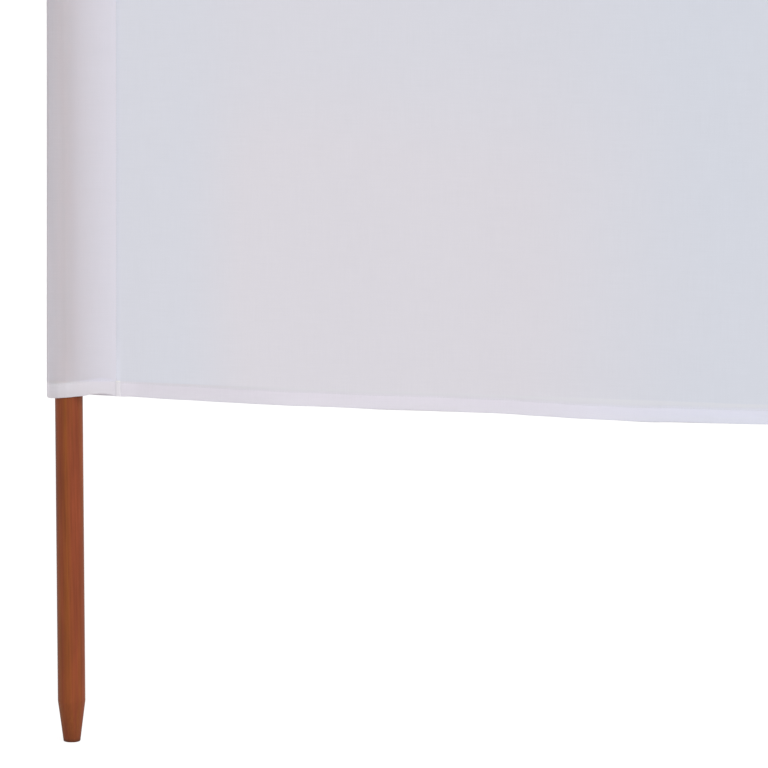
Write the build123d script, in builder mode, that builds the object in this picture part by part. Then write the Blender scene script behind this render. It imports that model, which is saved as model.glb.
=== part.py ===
from build123d import *
import math
import os

# Beach windbreak: a long white cloth screen on six turned wooden poles.
# Row frame in millimetres: +X along the screen, -Y is the front, +Z up.
# The origin is the centre of the flat end of the left end pole's foot.

# ---- the screen as a whole ----
bays = 5
screen_length = 6000.0          # from the left fold to the right fold of the cloth
screen_height = 1200.0          # cloth, hem to hem, at a pole
bare_foot = 380.0               # pole that shows below the cloth
bare_top = 20.0                 # pole that stands out above the cloth

# ---- turned poles ----
pole_r = 15.0
pole_length = bare_foot + screen_height + bare_top
foot_taper = 45.0               # length of the cone at the foot
foot_r = 9.1                    # radius of the cone at its blunt end
foot_edge = 1.3                 # rounding of the blunt end
shoulder_blend = 80.0           # radius that blends the cone into the shank
top_edge = 3.0                  # rounding of the head

# ---- cloth ----
cloth_t = 1.0                   # thickness of one layer of the model cloth
hem_h = 16.0                    # height of the turned hem
hem_t = 1.6                     # the two turned layers of a hem
sag_bottom = 4.0                # the lower edge hangs this much lower in mid bay
sag_top = 7.0                   # and so does the upper edge

# ---- end sleeves: the cloth's own end turned back round the pole ----
end_fold = 24.0                 # pole axis to the outside of the fold
end_loop_r = 19.0               # outside radius of the loop round the pole
end_seam = 54.0                 # pole axis to the seam that closes the sleeve

# ---- middle sleeves: a pocket over each middle pole, sewn on both sides ----
mid_loop_r = 17.4
mid_seam = 40.0

seam_w = 6.0                    # width of the two layers sewn flat at a seam
seam_t = 2 * cloth_t
band_t = hem_t / 2              # the hem stands this much proud round a sleeve's mouths

bay = (screen_length - 2 * end_fold) / bays
pole_x = [i * bay for i in range(bays + 1)]
cloth_low = bare_foot
cloth_high = bare_foot + screen_height


def front_plane(x=0.0, y=0.0):
    """An upright plane that faces the front: local x is +X, local y is +Z, and it extrudes towards -Y."""
    return Plane(origin=(x, y, 0), x_dir=(1, 0, 0), z_dir=(0, -1, 0))


def make_pole(x, label):
    """Turned pole: blunt cone at the foot, eased into the shank, and a rounded head."""
    with BuildPart() as pole:
        with BuildSketch(front_plane(x)) as half:
            with BuildLine():
                Polyline(
                    (0, 0),
                    (foot_r, 0),
                    (pole_r, foot_taper),
                    (pole_r, pole_length),
                    (0, pole_length),
                    close=True,
                )
            make_face()
            corners = half.vertices()
            rim = corners.filter_by(lambda v: abs(v.Y) < 0.01 and v.X > 1)
            shoulder = corners.filter_by(lambda v: abs(v.Y - foot_taper) < 0.01)
            head = corners.filter_by(lambda v: abs(v.Y - pole_length) < 0.01 and v.X > 1)
            fillet(rim, radius=foot_edge)
            fillet(shoulder, radius=shoulder_blend)
            fillet(head, radius=top_edge)
        revolve(axis=Axis((x, 0, 0), (0, 0, 1)))
    pole.part.label = label
    return pole


def make_end_sleeve(x, side, label):
    """Tube of cloth turned round an end pole and sewn flat at its seam. side is +1 when the seam is towards +X."""
    loop_x = -side * (end_fold - end_loop_r)
    with BuildPart() as sleeve:
        with BuildSketch(Plane(origin=(x, 0, cloth_low))):
            with Locations((loop_x, 0)):
                Circle(end_loop_r)
            with Locations((side * end_seam, 0)):
                Rectangle(seam_w, seam_t)
            make_hull()
        extrude(amount=screen_height)
        # the hem runs on round both mouths of the tube
        with BuildSketch(
            Plane(origin=(x, 0, cloth_low)), Plane(origin=(x, 0, cloth_high - hem_h))
        ):
            with Locations((loop_x, 0)):
                Circle(end_loop_r + band_t)
            with Locations((side * end_seam, 0)):
                Rectangle(seam_w, seam_t + 2 * band_t)
            make_hull()
        extrude(amount=hem_h)
        with BuildSketch(Plane(origin=(x, 0, cloth_low))):
            with Locations((loop_x, 0)):
                Circle(end_loop_r - cloth_t)
            with Locations((side * (end_seam - seam_w / 2), 0)):
                Circle(0.2)
            make_hull()
        extrude(amount=screen_height, mode=Mode.SUBTRACT)
    sleeve.part.label = label
    return sleeve


def make_mid_sleeve(x, label):
    """Pocket of cloth over a middle pole, sewn flat on both sides."""
    with BuildPart() as sleeve:
        with BuildSketch(Plane(origin=(x, 0, cloth_low))):
            Circle(mid_loop_r)
            with Locations((-mid_seam, 0), (mid_seam, 0)):
                Rectangle(seam_w, seam_t)
            make_hull()
        extrude(amount=screen_height)
        with BuildSketch(
            Plane(origin=(x, 0, cloth_low)), Plane(origin=(x, 0, cloth_high - hem_h))
        ):
            Circle(mid_loop_r + band_t)
            with Locations((-mid_seam, 0), (mid_seam, 0)):
                Rectangle(seam_w, seam_t + 2 * band_t)
            make_hull()
        extrude(amount=hem_h)
        with BuildSketch(Plane(origin=(x, 0, cloth_low))):
            Circle(mid_loop_r - cloth_t)
            with Locations((-mid_seam + seam_w / 2, 0), (mid_seam - seam_w / 2, 0)):
                Circle(0.2)
            make_hull()
        extrude(amount=screen_height, mode=Mode.SUBTRACT)
    sleeve.part.label = label
    return sleeve


def make_panel(x0, x1, label):
    """Flat cloth of one bay. Its upper and lower edges hang in shallow arcs."""
    mid = (x0 + x1) / 2
    with BuildPart() as panel:
        with BuildSketch(front_plane()):
            with BuildLine():
                ThreePointArc((x0, cloth_low), (mid, cloth_low - sag_bottom), (x1, cloth_low))
                Line((x1, cloth_low), (x1, cloth_high))
                ThreePointArc((x1, cloth_high), (mid, cloth_high - sag_top), (x0, cloth_high))
                Line((x0, cloth_high), (x0, cloth_low))
            make_face()
        extrude(amount=cloth_t / 2, both=True)
    panel.part.label = label
    return panel


def make_hem(x0, x1, z, sag, up, label):
    """Turned hem on the back of a panel, along its lower edge (up is +1) or its upper edge (up is -1)."""
    mid = (x0 + x1) / 2
    in_z = z + up * hem_h
    with BuildPart() as hem:
        with BuildSketch(front_plane(y=cloth_t / 2)):
            with BuildLine():
                ThreePointArc((x0, z), (mid, z - sag), (x1, z))
                Line((x1, z), (x1, in_z))
                ThreePointArc((x1, in_z), (mid, in_z - sag), (x0, in_z))
                Line((x0, in_z), (x0, z))
            make_face()
        extrude(amount=-hem_t)
    hem.part.label = label
    return hem


os.makedirs("parts", exist_ok=True)

pieces = []
for i, x in enumerate(pole_x, start=1):
    pieces.append(make_pole(x, f"pole_{i}"))

pieces.append(make_end_sleeve(pole_x[0], 1, "sleeve_1"))
for i in range(1, bays):
    pieces.append(make_mid_sleeve(pole_x[i], f"sleeve_{i + 1}"))
pieces.append(make_end_sleeve(pole_x[-1], -1, f"sleeve_{bays + 1}"))

for i in range(bays):
    x0 = pole_x[i] + (end_seam if i == 0 else mid_seam) + seam_w / 2
    x1 = pole_x[i + 1] - (end_seam if i == bays - 1 else mid_seam) - seam_w / 2
    pieces.append(make_panel(x0, x1, f"panel_{i + 1}"))
    pieces.append(make_hem(x0, x1, cloth_low, sag_bottom, 1, f"bottom_hem_{i + 1}"))
    pieces.append(make_hem(x0, x1, cloth_high, sag_top, -1, f"top_hem_{i + 1}"))

for piece in pieces:
    export_step(piece.part, f"parts/{piece.part.label}.step")

taper_angle = math.atan2(pole_r - foot_r, foot_taper)
shank_from = foot_taper + shoulder_blend * math.tan(taper_angle / 2)
print("bay", bay, "pole x", pole_x)
print("shank from", shank_from, "to", pole_length - top_edge, "length", pole_length - top_edge - shank_from)
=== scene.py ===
"""Beach windbreak: the looks of the cloth, its hems and stitching, the stained poles, and the studio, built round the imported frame.

Shapes are worked out in millimetres in the row frame (+X along the screen, -Y the front, +Z up) and written in metres."""

import math

import bpy
import numpy as np
from mathutils import Matrix, Vector


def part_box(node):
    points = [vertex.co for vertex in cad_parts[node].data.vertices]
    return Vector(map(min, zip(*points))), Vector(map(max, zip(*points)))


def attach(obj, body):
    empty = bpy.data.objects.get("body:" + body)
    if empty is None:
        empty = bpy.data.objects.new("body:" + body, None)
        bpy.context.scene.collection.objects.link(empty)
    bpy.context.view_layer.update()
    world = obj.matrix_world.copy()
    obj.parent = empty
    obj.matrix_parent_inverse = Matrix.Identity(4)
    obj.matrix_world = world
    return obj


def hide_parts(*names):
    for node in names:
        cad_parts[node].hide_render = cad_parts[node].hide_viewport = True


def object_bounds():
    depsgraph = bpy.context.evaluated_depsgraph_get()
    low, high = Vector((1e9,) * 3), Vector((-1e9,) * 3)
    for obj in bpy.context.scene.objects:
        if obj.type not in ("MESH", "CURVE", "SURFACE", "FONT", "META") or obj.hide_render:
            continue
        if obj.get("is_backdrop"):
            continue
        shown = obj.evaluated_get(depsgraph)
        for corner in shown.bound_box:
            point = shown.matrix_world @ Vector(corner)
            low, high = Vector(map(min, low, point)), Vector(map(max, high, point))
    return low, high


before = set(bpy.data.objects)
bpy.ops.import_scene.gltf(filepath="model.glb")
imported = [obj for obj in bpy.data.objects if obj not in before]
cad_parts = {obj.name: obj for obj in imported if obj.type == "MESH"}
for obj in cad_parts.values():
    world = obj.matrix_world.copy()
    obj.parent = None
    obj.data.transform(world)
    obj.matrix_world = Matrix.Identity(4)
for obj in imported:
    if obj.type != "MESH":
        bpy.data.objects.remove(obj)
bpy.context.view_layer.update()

# ------------------------------------------------------------------ sizes read from the frame


def box_mm(node):
    lo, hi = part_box(node)
    return np.array(lo) * 1000.0, np.array(hi) * 1000.0


POLES = sorted(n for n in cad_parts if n.startswith("pole_"))
COUNT = len(POLES)
BAYS = COUNT - 1
AXIS = []
for n in POLES:
    lo, hi = box_mm(n)
    AXIS.append((lo[0] + hi[0]) / 2)
POLE_R = (box_mm("pole_1")[1][1] - box_mm("pole_1")[0][1]) / 2
LOW, HIGH = box_mm("sleeve_1")[0][2], box_mm("sleeve_1")[1][2]
HEM = box_mm("bottom_hem_1")[1][2] - LOW
SAG_LOW = LOW - box_mm("panel_1")[0][2]
SAG_HIGH = HIGH - HEM - box_mm("top_hem_1")[0][2]
FOLD = AXIS[0] - box_mm("sleeve_1")[0][0]  # the end pole's axis to the outside of the fold, hem band included

T = 0.5  # spacing of two layers that are sewn together
STITCH_UP = 14.8  # the hem's stitch line above the cloth's edge

# ------------------------------------------------------------------ small helpers


def smooth_curve(xs, ys):
    """A function through the points with no overshoot (a monotone cubic), constant past both ends."""
    xs, ys = np.asarray(xs, float), np.asarray(ys, float)
    h, d = np.diff(xs), np.diff(ys) / np.diff(xs)
    m = np.zeros(len(xs))
    for k in range(1, len(xs) - 1):
        if d[k - 1] * d[k] > 0:
            w1, w2 = 2 * h[k] + h[k - 1], h[k] + 2 * h[k - 1]
            m[k] = (w1 + w2) / (w1 / d[k - 1] + w2 / d[k])

    def f(x):
        x = np.clip(np.asarray(x, float), xs[0], xs[-1])
        k = np.clip(np.searchsorted(xs, x, side="right") - 1, 0, len(xs) - 2)
        t = (x - xs[k]) / h[k]
        return (
            (2 * t**3 - 3 * t**2 + 1) * ys[k]
            + (t**3 - 2 * t**2 + t) * h[k] * m[k]
            + (-2 * t**3 + 3 * t**2) * ys[k + 1]
            + (t**3 - t**2) * h[k] * m[k + 1]
        )

    return f


def step(t):
    t = np.clip(t, 0, 1)
    return t * t * (3 - 2 * t)


def waves(seed, amps, lengths):
    """A smooth wavy function of one length in mm, with the given heights and wavelengths and seeded phases."""
    r = np.random.default_rng(seed)
    ph = r.uniform(0, 2 * math.pi, len(amps))
    st = r.uniform(0.85, 1.15, len(amps))

    def f(x):
        x = np.asarray(x, float)
        return sum(a * np.sin(2 * math.pi * x / (w * s) + p) for a, w, s, p in zip(amps, lengths, st, ph))

    return f


def grid_piece(name, points, flat, material, flip=False, strips=None):
    """A mesh of quads over rows and columns of points in mm. flat holds each point's place on the uncut cloth, in mm. strips gives a second material and the columns of quads that take it."""
    rows, cols = points.shape[:2]
    co = (points.reshape(-1, 3) / 1000.0).astype(np.float32)
    idx = np.arange(rows * cols).reshape(rows, cols)
    a, b, c, d = idx[:-1, :-1], idx[:-1, 1:], idx[1:, 1:], idx[1:, :-1]
    quads = np.stack([a, b, c, d] if not flip else [a, d, c, b], -1).reshape(-1, 4)
    mesh = bpy.data.meshes.new(name)
    mesh.vertices.add(len(co))
    mesh.vertices.foreach_set("co", co.ravel())
    mesh.loops.add(quads.size)
    mesh.loops.foreach_set("vertex_index", quads.ravel().astype(np.int32))
    mesh.polygons.add(len(quads))
    mesh.polygons.foreach_set("loop_start", np.arange(0, quads.size, 4, dtype=np.int32))
    mesh.polygons.foreach_set("loop_total", np.full(len(quads), 4, np.int32))
    mesh.update(calc_edges=True)
    mesh.polygons.foreach_set("use_smooth", np.ones(len(quads), bool))
    f = (flat.reshape(-1, 2) / 1000.0).astype(np.float32)
    layer = mesh.uv_layers.new(name="cut")
    layer.data.foreach_set("uv", f[quads.ravel()].ravel())
    mesh.materials.append(material)
    if strips:
        mesh.materials.append(strips[0])
        other = np.zeros((rows - 1, cols - 1), np.int32)
        other[:, strips[1]] = 1
        mesh.polygons.foreach_set("material_index", other.ravel())
    mesh.validate()
    obj = bpy.data.objects.new(name, mesh)
    bpy.context.scene.collection.objects.link(obj)
    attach(obj, "root")
    return obj


def lengths_along(points):
    """Distance along each row of points, from the row's first point."""
    d = np.linalg.norm(np.diff(points, axis=1), axis=2)
    return np.concatenate([np.zeros((points.shape[0], 1)), np.cumsum(d, axis=1)], axis=1)


# ------------------------------------------------------------------ where the sleeves are sewn


class Sleeve:
    """The cloth round one pole. side is +1 or -1 on an end sleeve, pointing to its seam, and 0 on a middle one. Distances u run from the pole's axis towards +X, or towards the seam on an end sleeve."""

    def __init__(self, index):
        self.i = index
        self.x = AXIS[index]
        self.side = 1 if index == 0 else -1 if index == COUNT - 1 else 0
        r = np.random.default_rng(700 + index)
        self.r = r
        if self.side:
            if index == 0:
                start, more, at_foot = 12.76, 7.05, 53.6
            else:
                start, more, at_foot = 15.5, 4.6, 54.4
            self.fold = lambda z: -(start + 1.2 * step((np.asarray(z, float) - 900) / 500) + more * np.exp(-((np.maximum(np.asarray(z, float) - LOW, 0) / 500.0) ** 1.3)))
            self.seam = lambda z: at_foot + 7.9 * (1 - np.exp(-np.maximum(np.asarray(z, float) - LOW, 0) / 800.0))
        else:
            lean = r.uniform(-2.4, 2.4)
            w1 = waves(710 + index, [0.5, 0.25], [520, 230])
            w2 = waves(720 + index, [0.5, 0.25], [480, 210])
            mid = lambda z: lean * ((np.asarray(z, float) - LOW) / (HIGH - LOW) - 0.5)
            self.left = lambda z: -38.2 + mid(z) + w1(z)
            self.right = lambda z: 38.2 + mid(z) + w2(z)

    def seam_x(self, z, towards):
        """X of the seam on the side of the next bay (towards +1) or the one before it (-1)."""
        if self.side:
            return self.x + self.side * self.seam(z)
        return self.x + (self.right(z) if towards > 0 else self.left(z))


SLEEVES = [Sleeve(i) for i in range(COUNT)]

# ------------------------------------------------------------------ how the free edges run

# The seams draw the cloth's edge up a little, and the lower edge falls again towards the end fold.
LIFT = lambda d: 0.35 * np.exp(-d / 60.0)

END_FRONT_EDGE = smooth_curve(
    [-24.0, -21.4, -20.6, -19.6, -18.3, -15.2, -9, 1, 10, 14, 17.5, 20, 22, 24.5, 27, 31, 35, 39, 43, 46, 50, 53, 55],
    [1.5, 1.35, 0.35, -0.7, -1.4, -2.15, -1.9, -1.0, -0.2, 0.4, 0.55, 0.65, 1.15, 1.9, 2.3, 2.8, 3.2, 3.35, 3.2, 2.8, 2.1, 1.1, 0.3],
)
END_BACK_EDGE = smooth_curve([-24, -21.4, -20.2, -18.3, -15.5, 0, 17, 27, 32, 37, 43, 49, 54, 60], [1.6, 1.3, 0.3, -0.7, -1.4, -1.3, -0.7, -0.5, -0.4, -0.3, 0.0, 0.2, 0.3, 0.3])


def bay_width(b, z):
    return SLEEVES[b + 1].seam_x(z, -1) - SLEEVES[b].seam_x(z, 1)


# Depth of the lower edge along each bay, from its left seam: the first one is drawn, the others are loose waves.
FIRST_LOW = smooth_curve(
    [0, 40, 90, 180, 280, 350, 425, 490, 560, 610, 670, 750, 850, 950, 1040, 1090],
    [0, -2.4, -3.4, -1.2, 0.8, 1.4, 1.1, 0.7, 0.3, -0.2, -0.5, 0.6, 2.8, 1.6, 0.2, 0],
)
FIRST_LOW_Z = smooth_curve(
    [0, 5, 10, 15, 17, 40, 63, 85, 108, 130, 152, 174, 196, 218, 240, 262, 284, 306, 327, 349, 371, 392, 414, 435, 457, 479, 501, 523, 545, 567, 588, 609, 630, 651, 672, 692, 709, 780, 900, 1085],
    [0.0, -0.1, 0.06, 0.44, 0.51, 0.39, 0.15, 0.33, -0.05, -0.13, -0.45, -0.57, -0.84, -0.44, -0.3, -0.38, -0.42, -0.21, 0.1, 0.31, 0.23, 0.05, 0.39, 0.19, -0.52, -0.81, -1.61, -1.88, -2.01, -2.33, -2.16, -1.25, -1.15, -1.11, -1.18, -1.03, -0.75, 0.45, 0.33, 0],
)


# ------------------------------------------------------------------ how the cloth of the bays hangs

SIM_COLS, SIM_ROWS, SIM_FRAMES = 37, 41, 60


def soft_noise(r, rows, cols, across, up):
    """Smooth seeded hills and hollows over a grid, with about that many of them across and up."""
    g = r.normal(0, 1, (up + 2, across + 2))
    v, h = np.linspace(0, up, rows)[:, None], np.linspace(0, across, cols)[None, :]
    i, j = np.floor(v).astype(int), np.floor(h).astype(int)
    fv, fh = step(v - i), step(h - j)
    return (g[i, j] * (1 - fh) + g[i, j + 1] * fh) * (1 - fv) + (g[i + 1, j] * (1 - fh) + g[i + 1, j + 1] * fh) * fv


def hang_bays():
    """Simulates each bay's cloth, sewn down its two sides and cut a little larger than the gap, as it settles under its own weight. Returns each grid point's depth in mm."""
    high = (HIGH - LOW) / 1000.0
    start, cut, faces, sewn = [], [], [], []
    for b in range(BAYS):
        r = np.random.default_rng(500 + b)
        w = bay_width(b, (LOW + HIGH) / 2) / 1000.0
        x = np.tile(np.linspace(0, w, SIM_COLS), (SIM_ROWS, 1))
        z = np.tile(np.linspace(0, high, SIM_ROWS)[:, None], (1, SIM_COLS))
        y = 0.005 * np.sqrt(np.sin(math.pi * x / w).clip(0)) * (soft_noise(r, SIM_ROWS, SIM_COLS, 5, 2) + 0.4 * soft_noise(r, SIM_ROWS, SIM_COLS, 8, 3))
        wider = 0.0005 * (1 + 0.35 * soft_noise(r, SIM_ROWS, 1, 1, 4))
        start.append(np.stack([x + 1.3 * b, y, z], -1).reshape(-1, 3))
        cut.append(np.stack([(x - w / 2) * (1 + wider) + w / 2 + 1.3 * b, 0 * x, (z - high / 2) * 1.0016 + high / 2], -1).reshape(-1, 3))
        idx = np.arange(SIM_ROWS * SIM_COLS).reshape(SIM_ROWS, SIM_COLS) + b * SIM_ROWS * SIM_COLS
        faces += np.stack([idx[:-1, :-1], idx[:-1, 1:], idx[1:, 1:], idx[1:, :-1]], -1).reshape(-1, 4).tolist()
        sewn += idx[:, 0].tolist() + idx[:, -1].tolist()
    mesh = bpy.data.meshes.new("hanging")
    mesh.from_pydata(np.concatenate(start).tolist(), [], faces)
    sheets = bpy.data.objects.new("hanging", mesh)
    scene = bpy.context.scene
    scene.collection.objects.link(sheets)
    sheets.shape_key_add(name="Basis")
    key = sheets.shape_key_add(name="cut")
    key.data.foreach_set("co", np.concatenate(cut).astype(np.float32).ravel())
    key.value = 0.0
    sheets.vertex_groups.new(name="seams").add(sewn, 1.0, "REPLACE")
    cloth = sheets.modifiers.new("cloth", "CLOTH")
    c = cloth.settings
    c.quality, c.mass, c.air_damping, c.pin_stiffness = 5, 0.3, 5.0, 50
    c.tension_stiffness, c.compression_stiffness, c.shear_stiffness, c.bending_stiffness = 150, 40, 8, 5
    c.tension_damping = c.compression_damping = c.shear_damping = 25
    c.bending_damping, c.bending_model = 1.0, "ANGULAR"
    c.vertex_group_mass, c.rest_shape_key = "seams", key
    cloth.collision_settings.use_collision = False
    cloth.point_cache.frame_start, cloth.point_cache.frame_end = 1, SIM_FRAMES
    was = scene.frame_current
    for frame_no in range(1, SIM_FRAMES + 1):
        scene.frame_set(frame_no)
    settled = sheets.evaluated_get(bpy.context.evaluated_depsgraph_get())
    done = settled.to_mesh()
    co = np.empty(len(done.vertices) * 3, np.float32)
    done.vertices.foreach_get("co", co)
    settled.to_mesh_clear()
    bpy.data.objects.remove(sheets)
    bpy.data.meshes.remove(mesh)
    scene.frame_set(was)
    y = co.reshape(BAYS, SIM_ROWS, SIM_COLS, 3)[..., 1].astype(float) * 1000.0
    # rounded a little along both ways, so that the grid's own steps don't show
    for _ in range(2):
        y[:, :, 1:-1] = (y[:, :, :-2] + 2 * y[:, :, 1:-1] + y[:, :, 2:]) / 4
        y[:, 1:-1] = (y[:, :-2] + 2 * y[:, 1:-1] + y[:, 2:]) / 4
    return np.round(y, 3)


HUNG = hang_bays()
HUNG = np.concatenate([2 * HUNG[:, :, :1] - HUNG[:, :, 1:2], HUNG, 2 * HUNG[:, :, -1:] - HUNG[:, :, -2:-1]], 2)
HUNG = np.concatenate([2 * HUNG[:, :1] - HUNG[:, 1:2], HUNG, 2 * HUNG[:, -1:] - HUNG[:, -2:-1]], 1)


def hung_depth(b, p, q):
    """Depth of the settled sheet of bay b, p being 0 to 1 from its left seam and q 0 to 1 from its lower edge, by cubics through the grid."""
    out = 0.0
    spots = []
    for t, n in ((p, SIM_COLS), (q, SIM_ROWS)):
        t = np.clip(t, 0, 1) * (n - 1)
        k = np.minimum(np.floor(t).astype(int), n - 2)
        f = t - k
        spots.append((k, [(-f + 2 * f**2 - f**3) / 2, (2 - 5 * f**2 + 3 * f**3) / 2, (f + 4 * f**2 - 3 * f**3) / 2, (f**3 - f**2) / 2]))
    (kx, wx), (kz, wz) = spots
    for i in range(4):
        for j in range(4):
            out = out + HUNG[b][kz + i, kx + j] * wz[i] * wx[j]
    return out


class Bay:
    def __init__(self, b):
        self.b = b
        r = np.random.default_rng(40 + b)
        self.low_wave = waves(50 + b, [2.6, 2.0, 1.1], [620, 330, 190])
        self.high_wave = waves(60 + b, [2.4, 1.6, 0.7], [700, 380, 210])
        self.low_lift = waves(70 + b, [0.6, 0.4], [420, 230])
        self.billow = [5.0, -7.0, 6.0, -5.0, 7.5][b % 5] * r.uniform(0.85, 1.15)
        self.fold_amp = r.uniform(0.9, 1.5)
        self.fold_phase = r.uniform(0, 2 * math.pi)
        self.creases = self.make_creases(r)

    def make_creases(self, r):
        """Short, faint creases left from the cloth being folded: centre along the bay and height in mm, half length, width, height, slope."""
        if self.b == 0:
            return [
                (398, 322, 34, 3.6, 0.34, 0.02),
                (430, 300, 26, 3.2, -0.26, 0.05),
                (462, 338, 30, 3.8, 0.30, -0.03),
                (440, 276, 38, 3.4, 0.24, 0.03),
                (505, 312, 20, 3.0, -0.22, 0.10),
                (536, 212, 24, 3.4, 0.24, -0.06),
                (668, 300, 44, 4.6, 0.30, 0.80),
                (690, 262, 36, 4.4, -0.22, 0.72),
                (300, 640, 60, 4.2, 0.22, 0.04),
                (860, 520, 48, 4.2, 0.24, -0.12),
                (780, 860, 40, 4.0, -0.22, 0.10),
            ]
        return [
            (
                r.uniform(120, 980),
                r.uniform(90, 1100),
                r.uniform(20, 60),
                r.uniform(3.2, 4.8),
                r.choice([-1, 1]) * r.uniform(0.18, 0.32),
                r.uniform(-0.25, 0.25),
            )
            for _ in range(9)
        ]

    def low_edge(self, X, z=LOW):
        a, c = SLEEVES[self.b].seam_x(z, 1), SLEEVES[self.b + 1].seam_x(z, -1)
        d1, d2 = np.maximum(X - a, 0), np.maximum(c - X, 0)
        p = np.clip((X - a) / (c - a), 0, 1)
        e = LOW - SAG_LOW * 4 * p * (1 - p) + LIFT(d1) + LIFT(d2)
        if self.b == 0:
            return e + FIRST_LOW_Z(X - a)
        return e + self.low_lift(X - a) * np.sin(math.pi * p)

    def high_edge(self, X, z=HIGH):
        a, c = SLEEVES[self.b].seam_x(z, 1), SLEEVES[self.b + 1].seam_x(z, -1)
        d1, d2 = np.maximum(X - a, 0), np.maximum(c - X, 0)
        p = np.clip((X - a) / (c - a), 0, 1)
        return HIGH - SAG_HIGH * 4 * p * (1 - p) - 0.6 * (np.exp(-d1 / 10.0) + np.exp(-d2 / 10.0)) + 0.5 * self.low_lift(
            X - a + 300
        ) * np.sin(math.pi * p)

    def depth(self, X, Z):
        """Y of the panel's front face."""
        a, c = SLEEVES[self.b].seam_x(Z, 1), SLEEVES[self.b + 1].seam_x(Z, -1)
        u = np.maximum(X - a, 0)
        v = np.maximum(c - X, 0)
        w = c - a
        p = np.clip(u / w, 0, 1)
        up = np.clip((Z - LOW) / (HIGH - LOW), 0, 1)
        ends = np.clip(np.minimum(u, v) / 160.0, 0, 1)
        ends = step(ends)
        # the folds of the hanging cloth; the first bay is drawn smooth where the photo shows it
        share = 1.0 if self.b else 0.055 + 0.945 * np.maximum(step((Z - 830) / 430.0), 0.75 * step((u - 770) / 260.0))
        y = 0.9 * share * hung_depth(self.b, p, up)
        if self.b == 0:
            y = y + self.billow * np.sin(math.pi * p) ** 2 * np.sin(math.pi * np.clip(0.12 + 0.8 * up, 0, 1)) ** 1.5 * (1 - 0.8 * share)
        y = y + ends * 0.5 * self.fold_amp * (0.35 + 0.65 * up) * np.sin(2 * math.pi * (u / 310.0 + 0.35 * up) + self.fold_phase)
        y = y + ends * 0.35 * np.sin(2 * math.pi * (u / 170.0 - 0.5 * up) + 2.1 * self.fold_phase)
        # waves along the free edges
        low = FIRST_LOW(u) if self.b == 0 else ends * self.low_wave(u)
        y = y + low * np.exp(-np.maximum(Z - LOW, 0) / 230.0)
        y = y + ends * self.high_wave(u) * np.exp(-np.maximum(HIGH - Z, 0) / 260.0)
        # drag lines that run from the sewn corners into the bay
        for dx, dz, sgn in ((u, Z - LOW, 1), (v, Z - LOW, 1), (u, HIGH - Z, -1), (v, HIGH - Z, -1)):
            rho = np.hypot(dx, dz)
            ang = np.arctan2(np.maximum(dz, 0), np.maximum(dx, 1e-6))
            y = y + sgn * 0.7 * (rho / 60.0) * np.exp(-rho / 130.0) * np.sin(ang * 9.0 + self.fold_phase) * np.sin(ang) ** 2 * np.cos(
                ang
            )
        # beside a seam the cloth stands a little proud of the stitches
        proud = 0.44 * (1 - 0.88 * np.exp(-((np.maximum(Z - LOW, 0) / 46.0) ** 3)))
        y = y - proud * (1 - np.exp(-u / 1.6)) - proud * (1 - np.exp(-v / 1.6)) + proud
        for k, (dist, sd) in enumerate(((u, 5), (v, 9))):
            ph = 1.3 * np.sin(Z / 47.0 + self.b + k) + 0.9 * np.sin(Z / 19.0 + 2 * k)
            y = y - 0.16 * (1 - np.exp(-dist / 3.0)) * np.exp(-dist / 13.0) * np.sin(2 * math.pi * Z / 17.0 + ph)
        for cx, cz, half, wide, high, slope in self.creases:
            dx, dz = u - cx, (Z - LOW) - cz
            n = math.hypot(1, slope)
            along, across = (dx + slope * dz) / n, (dz - slope * dx) / n
            across = across - 0.0016 * along**2
            y = y + high * np.exp(-((along / half) ** 2)) * np.exp(-((across / wide) ** 2))
        return y

    def front(self, X, Z, zl, zh):
        """Y of the front face with the grooves of the two hems' stitch lines, zl and zh being the edges there."""
        y = self.depth(X, Z)
        for s in ((Z - zl) - STITCH_UP, (zh - Z) - STITCH_UP):
            y = y + 0.17 * np.exp(-((s / 1.3) ** 2)) - 0.07 * np.exp(-(((np.abs(s) - 4.0) / 3.0) ** 2))
        return y


BAY = [Bay(b) for b in range(BAYS)]

# Peeks of the hem's turned layer below its front edge
PEEK = [
    smooth_curve([0, 262, 292, 327, 362, 395, 535, 560, 595, 625, 650, 680, 1090], [0, 0, 1.05, 1.2, 1.05, 0, 0, 0.6, 1.4, 1.4, 0.9, 0, 0]),
    smooth_curve([0, 200, 260, 320, 800, 860, 940, 1090], [0, 0, 0.8, 0, 0, 0.7, 0, 0]),
    smooth_curve([0, 120, 200, 260, 610, 680, 720, 1090], [0, 0, 0.6, 0, 0, 0.9, 0, 0]),
    smooth_curve([0, 420, 470, 560, 900, 960, 1000, 1090], [0, 0, 0.9, 0, 0, 0.5, 0, 0]),
    smooth_curve([0, 250, 330, 380, 700, 760, 830, 1090], [0, 0, 0.7, 0, 0, 0.9, 0, 0]),
]

# ------------------------------------------------------------------ rows of the grids

NEAR_EDGE = [1.2, 3.0, 5.0, 7.5, 10.0, 12.0, 13.3, 14.1, 14.8, 15.5, 16.3, 17.5, 19.5, 22.5, 26.5, 31.5, 38.0, 46.0, 55.0]
CURL = [(0.06, 0.62), (0.22, 0.2), (0.5, 0.0)]  # (towards the back, above the edge), down to the lowest point
TURNED = [
    (0.5, 0.0),
    (0.80, 0.16),
    (1.0, 0.6),
    (1.04, 1.3),
    (1.06, 3.2),
    (1.06, 6.0),
    (1.04, 9.0),
    (1.0, 12.0),
    (0.88, 13.7),
    (0.80, 14.8),
    (0.90, 15.7),
    (0.84, 16.4),
    (0.66, 16.75),
    (0.48, 16.4),
    (0.44, 15.4),
    (0.40, 14.8),
    (0.5, 13.4),
    (0.54, 10.0),
    (0.54, 6.0),
]


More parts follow.
